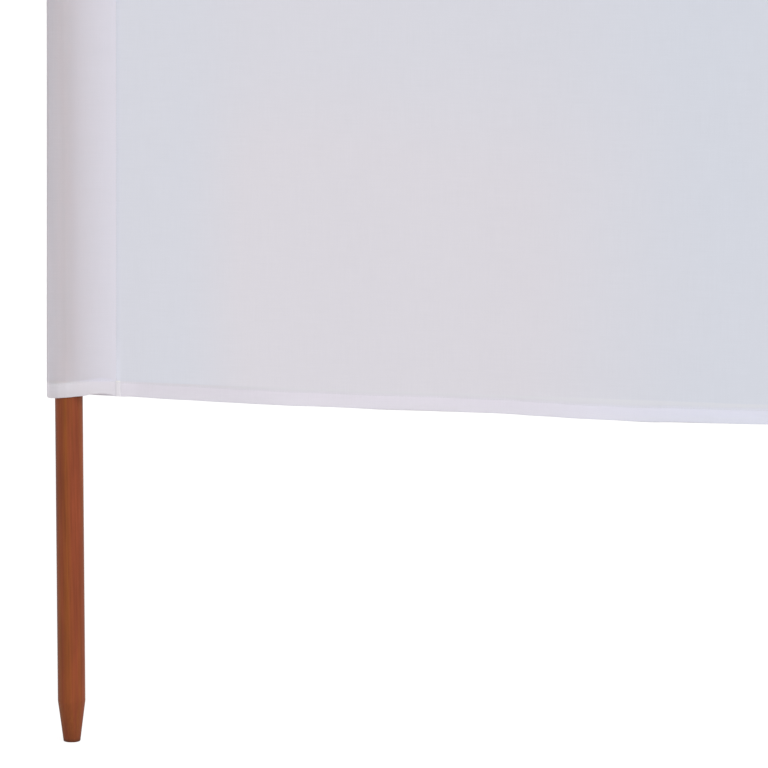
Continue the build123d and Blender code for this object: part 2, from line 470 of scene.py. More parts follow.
def column_marks(width, near, middle):
    """Distances from the left seam: close together beside both seams and evenly spaced between."""
    near = np.array(near, float)
    n = max(4, int(round((width - 2 * near[-1]) / middle)))
    mid = np.linspace(near[-1], width - near[-1], n + 1)
    return np.concatenate([near[:-1], mid, (width - near[:-1])[::-1]])


NEAR_SEAM = [0, 0.8, 1.8, 3.0, 4.6, 6.8, 9.6, 13.0, 17.5, 23.0, 30.0, 39.0, 50.0]


def panel_grid(b, middle_rows):
    """Rows from the lower edge's lowest point to the upper edge's highest point. Returns points, flat places, and the
    column shares and the two edges that the hems share.
    """
    bay = BAY[b]
    marks = column_marks(bay_width(b, LOW), NEAR_SEAM, 13.5)
    share = marks / marks[-1]
    xl = SLEEVES[b].seam_x(LOW, 1) + share * bay_width(b, LOW)
    xh = SLEEVES[b].seam_x(HIGH, 1) + share * bay_width(b, HIGH)
    zl, zh = bay.low_edge(xl), bay.high_edge(xh)
    low_d, high_d = np.array(NEAR_EDGE), np.array(NEAR_EDGE)
    mids = np.linspace(0, 1, middle_rows + 2)[1:-1]
    rows, offs = [], []
    for back, up in reversed(CURL):
        rows.append(zl + up)
        offs.append((back, 0))
    for d in low_d:
        rows.append(zl + d)
        offs.append((0, 0))
    for m in mids:
        rows.append((zl + low_d[-1]) * (1 - m) + (zh - high_d[-1]) * m)
        offs.append((0, 0))
    for d in high_d[::-1]:
        rows.append(zh - d)
        offs.append((0, 0))
    for back, up in CURL:
        rows.append(zh - up)
        offs.append((back, 0))
    Z = np.array(rows)
    X = np.empty_like(Z)
    for k in range(len(Z)):
        a, c = SLEEVES[b].seam_x(Z[k], 1), SLEEVES[b + 1].seam_x(Z[k], -1)
        X[k] = a + share * (c - a)
    Y = bay.front(X, Z, zl[None, :], zh[None, :]) + np.array([o[0] for o in offs])[:, None]
    P = np.stack([X, Y, Z], -1)
    flat = np.stack([X - AXIS[0], Z], -1)
    return P, flat, share, zl, zh


def hem_grid(b, share, edge, up):
    """The turned layers behind a panel's edge: up is +1 for the lower hem, -1 for the upper one."""
    bay = BAY[b]
    rows_x, rows_y, rows_z = [], [], []
    xe = None
    for back, d in TURNED:
        z = edge + up * d
        a, c = SLEEVES[b].seam_x(z, 1), SLEEVES[b + 1].seam_x(z, -1)
        x = a + share * (c - a)
        if up > 0:
            zl, zh = edge, bay.high_edge(x)
            drop = PEEK[b % len(PEEK)](x - a) * math.exp(-((d / 5.0) ** 2)) * step((back - 0.5) / 0.5)
        else:
            zl, zh = bay.low_edge(x), edge
            drop = 0.0
        # where it hangs below the front edge it stands off behind it, in the shade
        y = bay.depth(x, z) + back + 0.8 * drop
        rows_x.append(x)
        rows_y.append(y)
        rows_z.append(z - drop)
    P = np.stack([np.array(rows_x), np.array(rows_y), np.array(rows_z)], -1)
    v = lengths_along(P.transpose(1, 0, 2)).T
    flat = np.stack([P[..., 0] - AXIS[0], edge[None, :] - up * v], -1)
    return P, flat


def hug(s, z, sign):
    """How far from the pole's axis the cloth lies where it wraps the pole, a little more inside the two hems."""
    z = np.asarray(z, float)
    mouth = np.exp(-((np.minimum(z - LOW, HIGH - z).clip(0) / 26.0) ** 2))
    slack = waves(300 + s.i + (40 if sign < 0 else 0), [0.16, 0.12], [330, 150])(z)
    return POLE_R + 0.62 + slack + 1.1 * mouth


def end_outline(s, z):
    """The loop of cloth round an end pole at the heights z: arrays of u and y from the seam over the front, round the fold and back to the seam and its turned edge, with the share of the back edge's course in the third. The fold lies in front of the pole's axis, so the front layer runs on to it almost flat."""
    z = np.asarray(z, float)
    xf, xs = s.fold(z), s.seam(z)
    rb = 3.2 + waves(360 + s.i, [0.2, 0.15], [410, 190])(z)
    by = FOLD_Y + 0.3 * np.sin(z / 230.0 + 2 * s.i + 2.4)
    bx = -(xf + rb)
    us, ys, back = [], [], []
    ends = []
    for side, seam_y in ((-1, 0.0), (1, T)):
        a = hug(s, z, -side)
        away = np.arccos(a / np.hypot(xs, seam_y)) - side * np.arctan2(seam_y, xs)
        reach = np.hypot(bx, by)
        lean = np.arcsin(np.clip((a - rb) / reach, -1, 1)) - np.arctan2(side * by, bx)
        last = math.pi / 2 + lean
        ends.append(last)
        tu, ty = a * np.cos(away), a * np.sin(away)
        part_u, part_y = [], []
        for v in FLAT_V:  # from the seam to where the cloth meets the pole
            belly = 1.1 * math.sin(math.pi * v) * (1 - 0.5 * v) + 0.75 * (1 - math.exp(-v / 0.11)) * (1 - v) ** 1.5
            part_u.append(xs + (tu - xs) * v)
            part_y.append(side * ((side * seam_y) + (ty - side * seam_y) * v + belly))
        for v in ARC_V:  # round the pole
            g = away + (last - away) * v
            part_u.append(a * np.cos(g))
            part_y.append(side * a * np.sin(g))
        for v in TAIL_V:  # straight on to the fold
            part_u.append(a * np.cos(last) * (1 - v) + (rb * np.cos(last) - bx) * v)
            part_y.append(side * a * np.sin(last) * (1 - v) + (by + side * rb * np.sin(last)) * v)
        ends[-1] = (last, part_u, part_y)
    front, behind = ends[0], ends[1]
    us, ys = front[1], front[2]
    n_front = len(us)
    for v in TURN_V:  # round the fold, from the front layer's last direction to the back layer's first
        g = front[0] + (2 * math.pi - behind[0] - front[0]) * v
        us.append(rb * np.cos(g) - bx)
        ys.append(by - rb * np.sin(g))
    us = us + behind[1][::-1]
    ys = ys + behind[2][::-1]
    n = len(us)
    back = [float(step(((k - n_front) / (n - n_front) - 0.02) / 0.35)) for k in range(n)]
    for du, y in LAND:
        us.append(xs + du)
        ys.append(np.full_like(z, y))
        back.append(1.0)
    return np.array(us).T, np.array(ys).T, np.array(back)


FOLD_Y = -13.9
FLAT_V = [0.0, 0.02, 0.045, 0.075, 0.11, 0.17, 0.26, 0.36, 0.46, 0.56, 0.66, 0.76, 0.85, 0.93]
ARC_V = [0.0, 0.1, 0.2, 0.3, 0.4, 0.5, 0.6, 0.7, 0.8, 0.9]
TAIL_V = [0.0, 0.2, 0.4, 0.6, 0.8]
TURN_V = [0.0, 0.09, 0.18, 0.27, 0.36, 0.45, 0.54, 0.63, 0.72, 0.81, 0.9, 1.0]
LAND = [(1.2, T), (2.4, T + 0.04), (3.6, T + 0.06), (4.3, T + 0.12), (4.75, T + 0.3), (4.6, T + 0.52), (4.0, T + 0.58), (2.6, T + 0.5), (1.0, T + 0.3)]


def mid_outline(s, z, front):
    """One of the two layers over a middle pole, from its left seam to its right one. The back strip runs on past the seams to its turned edges."""
    z = np.asarray(z, float)
    us, ys = [], []
    side = -1 if front else 1
    seam_y = 0.0 if front else T
    a = hug(s, z, -side)
    halves = []
    for dirn, xs in ((-1, -s.left(z)), (1, s.right(z))):
        away = np.arccos(a / np.hypot(xs, seam_y)) - side * np.arctan2(seam_y, xs)
        tu, ty = a * np.cos(away), a * np.sin(away)
        part_u, part_y = [], []
        for v in FLAT_V:
            part_u.append(dirn * (xs + (tu - xs) * v))
            part_y.append(side * ((side * seam_y) + (ty - side * seam_y) * v + 0.4 * math.sin(math.pi * v) ** 2))
        for v in ARC_V:
            g = away + (math.pi / 2 - away) * v
            part_u.append(dirn * a * np.cos(g))
            part_y.append(side * a * np.sin(g))
        halves.append((part_u, part_y))
    if not front:
        for du, y in reversed(LAND):
            us.append(s.left(z) - du)
            ys.append(np.full_like(z, y))
    us += halves[0][0] + [np.zeros_like(z)] + halves[1][0][::-1]
    ys += halves[0][1] + [side * a] + halves[1][1][::-1]
    if not front:
        for du, y in LAND:
            us.append(s.right(z) + du)
            ys.append(np.full_like(z, y))
    return np.array(us).T, np.array(ys).T


def sleeve_rows(low_edge, high_edge, middle_rows):
    """Heights and inward offsets of a sleeve's rows: the lower hem's inner turn, its curl, the wall, and the same again above."""
    rows = []
    for back, d in reversed(TURNED[1:]):
        rows.append((low_edge + d, back))
    for back, d in reversed(CURL):
        rows.append((low_edge + d, back))
    for d in NEAR_EDGE:
        rows.append((low_edge + d, 0.0))
    a, c = low_edge + NEAR_EDGE[-1], high_edge - NEAR_EDGE[-1]
    for m in np.linspace(0, 1, middle_rows + 2)[1:-1]:
        rows.append((a * (1 - m) + c * m, 0.0))
    for d in NEAR_EDGE[::-1]:
        rows.append((high_edge - d, 0.0))
    for back, d in CURL:
        rows.append((high_edge - d, back))
    for back, d in TURNED[1:]:
        rows.append((high_edge - d, back))
    return rows


def sleeve_surface(s, outline, edges, inward, sign, middle_rows):
    """Points of one sheet of a sleeve. outline(z) gives u and y at heights z, and edges the sheet's lower and upper edges for each column. inward is how the sheet's inside lies to its outline's direction."""
    low_edge, high_edge = edges
    rows = sleeve_rows(low_edge, high_edge, middle_rows)
    pts = []
    n = len(low_edge)
    for z, back in rows:
        u, y = outline(z)
        u, y = u[np.arange(n), np.arange(n)], y[np.arange(n), np.arange(n)]
        pts.append(np.stack([u, y, z], -1))
    P = np.array(pts)
    du = np.gradient(P[..., 0], axis=1)
    dy = np.gradient(P[..., 1], axis=1)
    ln = np.hypot(du, dy) + 1e-9
    nu, ny = -dy / ln * inward, du / ln * inward
    back = np.array([b for _, b in rows])[:, None]
    groove = np.zeros(P.shape[:2])
    for sdist in ((P[..., 2] - low_edge[None, :]) - STITCH_UP, (high_edge[None, :] - P[..., 2]) - STITCH_UP):
        groove = groove + 0.22 * np.exp(-((sdist / 1.3) ** 2)) - 0.08 * np.exp(-(((np.abs(sdist) - 4.0) / 3.0) ** 2))
    off = np.where(back > 0, back, groove)
    P[..., 0] += nu * off
    P[..., 1] += ny * off
    normal = np.stack([-nu, -ny, np.zeros_like(nu)], -1)
    X = P.copy()
    X[..., 0] = s.x + (s.side if s.side else 1) * P[..., 0]
    if s.side:
        normal[..., 0] *= s.side
    return X, normal, rows


# ------------------------------------------------------------------ materials


class Nodes:
    """A short way to build a material's node tree."""

    def __init__(self, name):
        self.mat = bpy.data.materials.new(name)
        self.mat.use_nodes = True
        self.tree = self.mat.node_tree
        self.tree.nodes.clear()
        self.out = self.tree.nodes.new("ShaderNodeOutputMaterial")

    def add(self, kind, inputs=None, **props):
        n = self.tree.nodes.new(kind)
        for k, v in props.items():
            setattr(n, k, v)
        for k, v in (inputs or {}).items():
            self.put(n, k, v)
        return n

    def put(self, node, key, value):
        sock = node.inputs[key]
        if isinstance(value, bpy.types.NodeSocket):
            self.tree.links.new(value, sock)
        elif isinstance(value, bpy.types.Node):
            self.tree.links.new(value.outputs[0], sock)
        else:
            sock.default_value = value

    def math(self, op, a, b=None, c=None):
        n = self.add("ShaderNodeMath", operation=op)
        for k, v in enumerate((a, b, c)):
            if v is not None:
                self.put(n, k, v)
        return n.outputs[0]

    def mix(self, fac, a, b, blend="MIX"):
        n = self.add("ShaderNodeMix", data_type="RGBA", blend_type=blend, clamp_factor=True)
        self.put(n, 0, fac)
        self.put(n, 6, a)
        self.put(n, 7, b)
        return n.outputs[2]

    def ramp(self, fac, stops):
        n = self.add("ShaderNodeValToRGB")
        e = n.color_ramp.elements
        while len(e) < len(stops):
            e.new(0.5)
        for k, (pos, col) in enumerate(stops):
            e[k].position = pos
            e[k].color = col if len(col) == 4 else (*col, 1)
        self.put(n, 0, fac)
        return n.outputs[0]

    def noise(self, vector, scale, detail=2.0, rough=0.5, dims="3D", distortion=0.0):
        n = self.add("ShaderNodeTexNoise", noise_dimensions=dims)
        self.put(n, "Vector", vector)
        self.put(n, "Scale", scale)
        self.put(n, "Detail", detail)
        self.put(n, "Roughness", rough)
        self.put(n, "Distortion", distortion)
        return n

    def scaled(self, vector, x, y, z):
        n = self.add("ShaderNodeVectorMath", operation="MULTIPLY")
        self.put(n, 0, vector)
        self.put(n, 1, (x, y, z))
        return n.outputs[0]


def cloth_material(name, base, through, patchy=1.0, patch_at=(0.12, 0.22, 0.47, 0.73), tints=((1.030, 0.999, 0.978), (0.962, 0.999, 1.020)), layers=None, even=True, folded=False, painted_seam_foot_highlight=False):
    """White plain-woven cloth: yarns about half a millimetre apart, slightly uneven, that let part of the light through."""
    k = Nodes(name)
    uv = k.add("ShaderNodeUVMap", uv_map="cut").outputs[0]
    obj = k.add("ShaderNodeTexCoord").outputs["Object"]
    place = uv
    sep = k.add("ShaderNodeSeparateXYZ", {"Vector": place})
    pitch = 0.00052
    wobble = k.noise(place, 900.0, 1.0)
    wob = k.math("MULTIPLY_ADD", wobble.outputs[0], 0.00009, -0.000045)
    a = k.math("DIVIDE", k.math("ADD", sep.outputs[0], wob), pitch)
    b = k.math("DIVIDE", k.math("ADD", sep.outputs[1], wob), pitch)
    # one yarn's rounded back, and which of the two yarns is on top
    ra = k.math("ABSOLUTE", k.math("SINE", k.math("MULTIPLY", a, math.pi)))
    rb = k.math("ABSOLUTE", k.math("SINE", k.math("MULTIPLY", b, math.pi)))
    par = k.math(
        "MULTIPLY",
        k.math("COSINE", k.math("MULTIPLY", k.math("FLOOR", a), math.pi)),
        k.math("COSINE", k.math("MULTIPLY", k.math("FLOOR", b), math.pi)),
    )
    up = k.math("MULTIPLY_ADD", par, 0.5, 0.5)
    over = k.math("MULTIPLY", k.math("POWER", ra, 0.6), up)
    under = k.math("MULTIPLY", k.math("POWER", rb, 0.6), k.math("SUBTRACT", 1.0, up))
    weave = k.math("MAXIMUM", over, under)
    # yarns that are a little thicker or thinner along their length, both ways
    slub_v = k.noise(k.scaled(place, 1300.0, 24.0, 24.0), 1.0, 2.0, 0.6)
    slub_h = k.noise(k.scaled(place, 24.0, 1300.0, 24.0), 1.0, 2.0, 0.6)
    slub = k.math("ADD", slub_v.outputs[0], slub_h.outputs[0])
    cloud = k.noise(obj, 3.1, 3.0, 0.55)
    fine = k.noise(obj, 42.0, 3.0, 0.6)
    warm, cool = (tuple(min(c * f, 1.0) for c, f in zip(base, t)) for t in tints)
    osep = k.add("ShaderNodeSeparateXYZ", {"Vector": obj})

    def rise(value, start, end, low=0.0, high=1.0):
        return k.add(
            "ShaderNodeMapRange", {"Value": value, "From Min": start, "From Max": end, "To Min": low, "To Max": high}, interpolation_type="SMOOTHSTEP"
        ).outputs[0]

    # the hems, where the light crosses three layers
    turned = k.math("MAXIMUM", rise(osep.outputs[2], (LOW + HEM + 1.5) / 1000, (LOW + HEM - 0.5) / 1000), rise(osep.outputs[2], (HIGH - HEM - 1.5) / 1000, (HIGH - HEM + 0.5) / 1000))
    # a broad warmer patch low in the first bay, and vaguer clouds all along
    patch = k.math("MULTIPLY", k.math("MAXIMUM", rise(osep.outputs[0], *patch_at[:2]), turned), rise(osep.outputs[0], *patch_at[2:], 1.0, 0.0))
    patch = k.math("MULTIPLY", patch, rise(osep.outputs[2], 0.60, 0.77, 1.0, 0.42))
    rest = k.math("ADD", rise(osep.outputs[0], 0.2, 0.7, 0.66, 0.95), rise(osep.outputs[0], 0.8, 1.3, 0.0, -0.33))
    clouds = k.math("MULTIPLY", k.math("SUBTRACT", cloud.outputs[0], 0.5), rise(osep.outputs[0], 0.8, 1.3, 0.5 * patchy, 0.8 * patchy))
    where = k.math("ADD", k.math("SUBTRACT", rest, k.math("MULTIPLY", patch, 0.80 * patchy)), clouds)
    if even:
        level = k.math("SUBTRACT", k.math("MULTIPLY", where, -0.5), -0.12)
        where = k.math("ADD", where, k.math("MULTIPLY", turned, level))
    tint = k.mix(where, (*warm, 1), (*cool, 1))
    # painted shade in the gaps between the yarns
    weave_gap_shade = k.mix(
        k.math("MULTIPLY", k.math("SUBTRACT", 1.0, weave), 0.10),
        tint,
        (base[0] * 0.72, base[1] * 0.72, base[2] * 0.74, 1),
    )
    streak = k.math("MULTIPLY_ADD", slub, 0.05, 0.95)
    grain = k.math("MULTIPLY_ADD", fine.outputs[0], 0.02, 0.99)
    col = k.mix(1.0, weave_gap_shade, k.math("MULTIPLY", streak, grain), "MULTIPLY")
    if layers:
        # painted light: in the hems the colour is shifted a little for the light that their layers give back
        col = k.mix(turned, col, k.mix(1.0, col, (*layers, 1), "MULTIPLY"))
        if even:
            # painted shade makes the hem greyer near the first seam, and painted light (loose) makes it a little paler
            # farther on
            painted_shade_near_seam = k.math("MULTIPLY", rise(osep.outputs[0], 0.064, 0.090), rise(osep.outputs[0], 0.195, 0.265, 1.0, 0.0))
            loose = k.math("MULTIPLY_ADD", rise(osep.outputs[0], 0.50, 0.60), 0.021, 1.0)
            col = k.mix(turned, col, k.mix(1.0, col, k.math("MULTIPLY_ADD", painted_shade_near_seam, -0.036, loose), "MULTIPLY"))
    if folded:
        # round an end pole: painted light, a little paler over the pole, and painted shade along the fold, more of it
        # higher up
        turn = rise(sep.outputs[0], 0.0605, 0.0665)
        painted_light_over_pole = k.math("MULTIPLY", rise(sep.outputs[0], 0.047, 0.054), k.math("SUBTRACT", 1.0, turn))
        painted_shade_along_fold = k.math("MULTIPLY", turn, rise(sep.outputs[0], 0.088, 0.104, 1.0, 0.0))
        painted_shade_by_fold_edge = k.math("MULTIPLY", k.math("MULTIPLY", painted_shade_along_fold, rise(sep.outputs[0], 0.0655, 0.0705)), rise(osep.outputs[2], 0.50, 0.58, 0.4, 1.0))
        shade = k.math("ADD", k.math("MULTIPLY_ADD", painted_light_over_pole, 0.022, 1.0), k.math("MULTIPLY_ADD", painted_shade_along_fold, -0.032, k.math("MULTIPLY", painted_shade_by_fold_edge, -0.042)))
        # painted light: the very edge of the fold is made paler
        rim = k.math("MULTIPLY", rise(sep.outputs[0], 0.0727, 0.0741), rise(sep.outputs[0], 0.078, 0.086, 1.0, 0.0))
        shade = k.math("ADD", shade, k.math("MULTIPLY", rim, k.math("SUBTRACT", 1.05, shade)))
        col = k.mix(1.0, col, shade, "MULTIPLY")
    height = k.math("ADD", k.math("MULTIPLY", weave, 0.6), k.math("MULTIPLY", slub, 0.5))
    bump = k.add("ShaderNodeBump", {"Strength": 0.35, "Distance": 0.00012, "Height": height})
    soft = k.noise(obj, 95.0, 2.0, 0.5)
    bump2 = k.add("ShaderNodeBump", {"Strength": 0.25, "Distance": 0.0006, "Height": soft.outputs[0], "Normal": bump.outputs[0]})
    face = k.add(
        "ShaderNodeBsdfPrincipled",
        {
            "Base Color": col,
            "Roughness": 0.82,
            "Specular IOR Level": 0.22,
            "Sheen Weight": 0.12,
            "Sheen Roughness": 0.5,
            "Normal": bump2.outputs[0],
        },
    )
    back = k.add("ShaderNodeBsdfTranslucent", {"Color": col, "Normal": bump2.outputs[0]})
    mix = k.add("ShaderNodeMixShader", {0: through, 1: face.outputs[0], 2: back.outputs[0]})
    if painted_seam_foot_highlight:
        # painted highlight: near their lower ends the seams' turned edges (close) are made paler and let almost no
        # light through, as more layers would, which brightens the cloth beside the seam's foot
        close = k.math("MULTIPLY", rise(osep.outputs[2], (LOW + 34) / 1000, (LOW + 62) / 1000, 1.0, 0.0), k.math("MULTIPLY_ADD", turned, -0.63, 1.0))
        for sock in (face.inputs["Base Color"], back.inputs["Color"]):
            k.put(sock.node, sock.name, k.mix(close, col, (0.998, 0.985, 0.950, 1)))
        k.put(mix, 0, k.math("MULTIPLY_ADD", close, 0.05 - through, through))
    k.put(k.out, "Surface", mix.outputs[0])
    return k.mat


def thread_material(name, base):
    k = Nodes(name)
    obj = k.add("ShaderNodeTexCoord").outputs["Object"]
    ply = k.add("ShaderNodeTexWave", wave_type="BANDS", bands_direction="DIAGONAL", wave_profile="SIN")
    k.put(ply, "Vector", obj)
    k.put(ply, "Scale", 900.0)
    k.put(ply, "Distortion", 1.5)
    fuzz = k.noise(obj, 2600.0, 2.0)
    col = k.mix(k.math("MULTIPLY", ply.outputs[1], 0.35), (*base, 1), (base[0] * 0.78, base[1] * 0.78, base[2] * 0.8, 1))
    height = k.math("ADD", ply.outputs[1], k.math("MULTIPLY", fuzz.outputs[0], 0.4))
    bump = k.add("ShaderNodeBump", {"Strength": 0.5, "Distance": 0.00008, "Height": height})
    face = k.add(
        "ShaderNodeBsdfPrincipled",
        {"Base Color": col, "Roughness": 0.55, "Specular IOR Level": 0.35, "Sheen Weight": 0.1, "Normal": bump.outputs[0]},
    )
    k.put(k.out, "Surface", face.outputs[0])
    return k.mat


def wood_material(name, shift, tone):
    """Turned softwood, stained red-brown under a satin varnish. The rings' centre lies beside the pole, so the lathe cuts long streaks and pointed arches."""
    k = Nodes(name)
    obj = k.add("ShaderNodeTexCoord").outputs["Object"]
    move = k.add("ShaderNodeVectorMath", operation="ADD")
    k.put(move, 0, obj)
    k.put(move, 1, shift)
    place = move.outputs[0]
    sway = k.noise(k.scaled(place, 9.0, 9.0, 1.6), 1.0, 2.0, 0.5)
    sway_v = k.add("ShaderNodeVectorMath", operation="MULTIPLY")
    k.put(sway_v, 0, k.add("ShaderNodeVectorMath", {0: sway.outputs["Color"], 1: (0.5, 0.5, 0.5)}, operation="SUBTRACT").outputs[0])
    k.put(sway_v, 1, (0.012, 0.012, 0.0))
    bent = k.add("ShaderNodeVectorMath", {0: place, 1: sway_v.outputs[0]}, operation="ADD").outputs[0]
    sep = k.add("ShaderNodeSeparateXYZ", {"Vector": bent})
    # distance from a line that leans across the pole gives the rings
    rx = k.math("MULTIPLY_ADD", sep.outputs[2], 0.012, sep.outputs[0])
    ry = k.math("MULTIPLY_ADD", sep.outputs[2], -0.017, sep.outputs[1])
    dist = k.math("SQRT", k.math("ADD", k.math("MULTIPLY", rx, rx), k.math("MULTIPLY", ry, ry)))
    ring = k.math("FRACT", k.math("DIVIDE", dist, 0.0034))
    late = k.ramp(ring, [(0.0, (0.15,) * 3), (0.45, (0.25,) * 3), (0.86, (0.9,) * 3), (0.95, (1.0,) * 3), (1.0, (0.1,) * 3)])
    fibre = k.noise(k.scaled(bent, 900.0, 900.0, 14.0), 1.0, 4.0, 0.62)
    broad = k.noise(k.scaled(bent, 105.0, 105.0, 2.2), 1.0, 3.0, 0.55)
    body = tone
    deep = (tone[0] * 0.62, tone[1] * 0.52, tone[2] * 0.5)
    glow = (tone[0] * 1.14, tone[1] * 1.27, tone[2] * 0.86)
    red = (tone[0] * 1.04, tone[1] * 0.80, tone[2] * 1.30)
    c1 = k.mix(k.ramp(broad.outputs[0], [(0.35, (0, 0, 0)), (0.65, (1, 1, 1))]), (*red, 1), (*glow, 1))
    c2 = k.mix(0.3, c1, (*body, 1))
    c3 = k.mix(k.math("MULTIPLY", late, 0.22), c2, (*deep, 1))
    pores = k.ramp(fibre.outputs[0], [(0.30, (1, 1, 1)), (0.48, (0.25,) * 3), (0.60, (0, 0, 0))])
    c4 = k.mix(k.math("MULTIPLY", pores, 0.34), c3, (deep[0] * 0.8, deep[1] * 0.8, deep[2] * 0.8, 1))
    # the stain took unevenly, in patches a few centimetres long
    uneven = k.noise(k.scaled(bent, 95.0, 95.0, 16.0), 1.0, 2.0, 0.5)
    c4 = k.mix(1.0, c4, k.math("MULTIPLY_ADD", uneven.outputs[0], 0.62, 0.70), "MULTIPLY")
    # the tip: the cone is darker and rougher towards the bottom, in uneven patches; the bare end grain takes more
    # stain, and painted shade darkens the end's rounded edge
    low = k.math("SUBTRACT", 1.0, k.add("ShaderNodeMapRange", {"Value": k.add("ShaderNodeSeparateXYZ", {"Vector": obj}).outputs[2], "From Min": 0.0, "From Max": 0.052}).outputs[0])
    tip_patches = k.noise(k.scaled(obj, 260.0, 260.0, 90.0), 1.0, 4.0, 0.65)
    tip = k.math("MULTIPLY", low, k.ramp(tip_patches.outputs[0], [(0.35, (0.45,) * 3), (0.7, (1, 1, 1))]))
    c5 = k.mix(k.math("MULTIPLY", tip, 0.70), c4, (deep[0] * 0.85, deep[1] * 0.9, deep[2], 1))
    # painted shade on the end's rounded edge, together with the end grain's deeper stain
    end = k.math("SUBTRACT", 1.0, k.add("ShaderNodeMapRange", {"Value": k.add("ShaderNodeSeparateXYZ", {"Vector": obj}).outputs[2], "From Min": 0.0012, "From Max": 0.0045}).outputs[0])
    c5 = k.mix(k.math("MULTIPLY", end, 0.62), c5, (deep[0] * 0.42, deep[1] * 0.6, deep[2] * 0.9, 1))
    rough = k.math("MULTIPLY_ADD", fibre.outputs[0], 0.16, k.math("MULTIPLY_ADD", tip, 0.22, 0.30))
    height = k.math("ADD", k.math("MULTIPLY", fibre.outputs[0], 0.8), k.math("MULTIPLY", late, 0.35))
    bump = k.add("ShaderNodeBump", {"Strength": 0.32, "Distance": 0.00025, "Height": height})
    face = k.add(
        "ShaderNodeBsdfPrincipled",
        {
            "Base Color": c5,
            "Roughness": rough,
            "Specular IOR Level": 0.16,
            "Coat Weight": 0.06,
            "Coat Roughness": 0.3,
            "Normal": bump.outputs[0],
        },
    )
    k.put(k.out, "Surface", face.outputs[0])
    return k.mat


CLOTH = cloth_material("white_cloth", (0.912, 0.912, 0.993), 0.445, layers=(1.008, 1.016, 1.003))
# the hems' cloth is made whiter than the panels': painted light for the light that the hem's layers give back
HEM_CLOTH = cloth_material("white_cloth_hem", (0.968, 0.962, 0.978), 0.25, 0.75, (-1.0, -0.5, 0.30, 0.80), ((1.018, 0.996, 0.983), (1.000, 0.999, 1.025)))
SLEEVE_CLOTH = cloth_material("white_cloth_sleeve", (0.936, 0.914, 0.970), 0.445, 0.12, layers=(1.003, 1.001, 0.972), even=False)
END_SLEEVE_CLOTH = cloth_material("white_cloth_end_sleeve", (0.936, 0.914, 0.970), 0.445, 0.12, layers=(1.003, 1.001, 0.972), even=False, folded=True)
SEAM_CLOTH = cloth_material("white_cloth_seam", (0.954, 0.945, 0.929), 0.445, 0.12, layers=(0.990, 0.975, 1.062), painted_seam_foot_highlight=True)
THREAD = thread_material("white_thread", (0.86, 0.85, 0.88))

for i, n in enumerate(POLES):
    r = np.random.default_rng(900 + i)
    tone_k = 1.0 if i == 0 else r.uniform(0.9, 1.08)
    wood = wood_material(
        f"stained_pole_{i + 1}",
        (0.031 - AXIS[i] / 1000.0 + (0 if i == 0 else r.uniform(-0.01, 0.01)), 0.024 + (0 if i == 0 else r.uniform(-0.03, 0.02)), (0 if i == 0 else r.uniform(0, 3))),
        (0.256 * tone_k, 0.066 * tone_k, 0.0178 * tone_k),
    )
    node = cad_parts[n]
    node.data.materials.clear()
    node.data.materials.append(wood)

# ------------------------------------------------------------------ the cloth

stitch_runs = {}  # name: list of (points, tangents, normals)


def note_run(name, P, N, pitch=3.2, start=1.6):
    """Stitches at an even pitch along a line of points P with normals N."""
    d = np.concatenate([[0], np.cumsum(np.linalg.norm(np.diff(P, axis=0), axis=1))])
    s = np.arange(start, d[-1] - start * 0.5, pitch)
    C = np.stack([np.interp(s, d, P[:, k]) for k in range(3)], -1)
    A = np.stack([np.interp(s - 0.6, d, P[:, k]) for k in range(3)], -1)
    B = np.stack([np.interp(s + 0.6, d, P[:, k]) for k in range(3)], -1)
    Nn = np.stack([np.interp(s, d, N[:, k]) for k in range(3)], -1)
    Tn = B - A
    Tn /= np.linalg.norm(Tn, axis=1, keepdims=True)
    Nn -= Tn * np.sum(Nn * Tn, axis=1, keepdims=True)
    Nn /= np.linalg.norm(Nn, axis=1, keepdims=True)
    stitch_runs.setdefault(name, []).append((C, Tn, Nn))


def stitches(name, length=2.5, radius=0.19, seed=1):
    C = np.concatenate([c for c, _, _ in stitch_runs[name]])
    Tn = np.concatenate([t for _, t, _ in stitch_runs[name]])
    Nn = np.concatenate([n for _, _, n in stitch_runs[name]])
    r = np.random.default_rng(seed)
    Sn = np.cross(Tn, Nn)
    n = len(C)
    ln = length * r.uniform(0.93, 1.06, n)
    skew = r.uniform(-0.05, 0.05, n)
    along = np.array([-0.5, -0.27, 0.27, 0.5])
    lift = np.array([-0.10, 0.13, 0.13, -0.10])
    rad = np.array([0.7, 1.04, 1.04, 0.7]) * radius
    ang = np.radians([-12, 56, 124, 192])
    V = np.empty((n, len(along), len(ang), 3))
    for j in range(len(along)):
        centre = C + Tn * (along[j] * ln)[:, None] + Nn * (lift[j] - 0.02) + Sn * (skew * along[j] * 4)[:, None] * 0.3
        for m in range(len(ang)):
            V[:, j, m] = centre + Sn * (math.cos(ang[m]) * rad[j]) + Nn * (math.sin(ang[m]) * rad[j])
    ja, ma = len(along), len(ang)
    base = np.arange(n)[:, None, None] * ja * ma + np.arange(ja - 1)[None, :, None] * ma + np.arange(ma - 1)[None, None, :]
    quads = np.stack([base, base + ma, base + ma + 1, base + 1], -1).reshape(-1, 4)
    co = (V.reshape(-1, 3) / 1000.0).astype(np.float32)
    mesh = bpy.data.meshes.new(name)
    mesh.vertices.add(len(co))
    mesh.vertices.foreach_set("co", co.ravel())
    mesh.loops.add(quads.size)
    mesh.loops.foreach_set("vertex_index", quads.ravel().astype(np.int32))
    mesh.polygons.add(len(quads))
    mesh.polygons.foreach_set("loop_start", np.arange(0, quads.size, 4, dtype=np.int32))
    mesh.polygons.foreach_set("loop_total", np.full(len(quads), 4, np.int32))
    mesh.update(calc_edges=True)
    mesh.polygons.foreach_set("use_smooth", np.ones(len(quads), bool))
    mesh.materials.append(THREAD)
    obj = bpy.data.objects.new(name, mesh)
    bpy.context.scene.collection.objects.link(obj)
    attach(obj, "root")
    return obj


PANEL_ROWS = 240
SLEEVE_ROWS = 165

